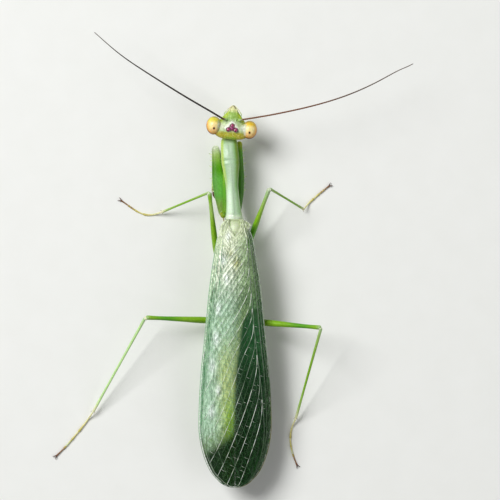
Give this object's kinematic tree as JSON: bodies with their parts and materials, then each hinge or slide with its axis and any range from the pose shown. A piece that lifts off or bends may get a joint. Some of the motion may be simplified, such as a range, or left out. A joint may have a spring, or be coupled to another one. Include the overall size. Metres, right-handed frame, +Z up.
{
  "type": "praying mantis",
  "caption": "Life-size still model of a slender green leaf mantis at rest, clear wings folded over the back and catching legs tucked under the shield.",
  "frame": {"origin": "on the floor, under the middle of the model's bounding box", "axes": "+Z up, head towards -Y, the animal's left side towards +X"},
  "size_m": [0.0326, 0.041, 0.0054],
  "materials": {
    "face": "pale green cuticle of the face, cream by the mouth and ochre on the crown",
    "eye": "cream to orange compound eye, with a soft gloss and a small dark false pupil",
    "ocellus": "glassy magenta simple eye with a dark red rim",
    "feeler": "thread-like feeler, red brown and ringed near the head, nearly black further out",
    "shield": "silvery grey green shield with a yellow green rim",
    "trunk": "cream green cuticle in overlapping plates",
    "wing": "clear wing membrane with a net of whitish veins",
    "foreleg": "smooth leaf green cuticle of the catching legs",
    "leg": "lime green cuticle of the walking legs",
    "shin": "pale cream green shins",
    "foot": "tan to brown jointed feet with claws"
  },
  "bodies": {
    "root": {"abdomen": "trunk", "antenna_left": "feeler", "antenna_right": "feeler", "cercus_left": "leg", "cercus_right": "leg", "coxa_front_left": "foreleg", "coxa_front_right": "foreleg", "coxa_hind_left": "leg", "coxa_hind_right": "leg", "coxa_middle_left": "leg", "coxa_middle_right": "leg", "eye_left": "eye", "eye_right": "eye", "femur_front_left": "foreleg", "femur_front_right": "foreleg", "femur_hind_left": "leg", "femur_hind_right": "leg", "femur_middle_left": "leg", "femur_middle_right": "leg", "forewing_left": "wing", "forewing_right": "wing", "head_capsule": "face", "hindwing_left": "wing", "hindwing_right": "wing", "mesothorax": "trunk", "metathorax": "trunk", "mouthparts": "face", "neck": "trunk", "ocellus_left": "ocellus", "ocellus_median": "ocellus", "ocellus_right": "ocellus", "pronotum": "shield", "prothorax": "trunk", "tarsus_front_left": "foot", "tarsus_front_right": "foot", "tarsus_hind_left": "foot", "tarsus_hind_right": "foot", "tarsus_middle_left": "foot", "tarsus_middle_right": "foot", "tibia_front_left": "foreleg", "tibia_front_right": "foreleg", "tibia_hind_left": "shin", "tibia_hind_right": "shin", "tibia_middle_left": "shin", "tibia_middle_right": "shin"}
  },
  "joints": []
}
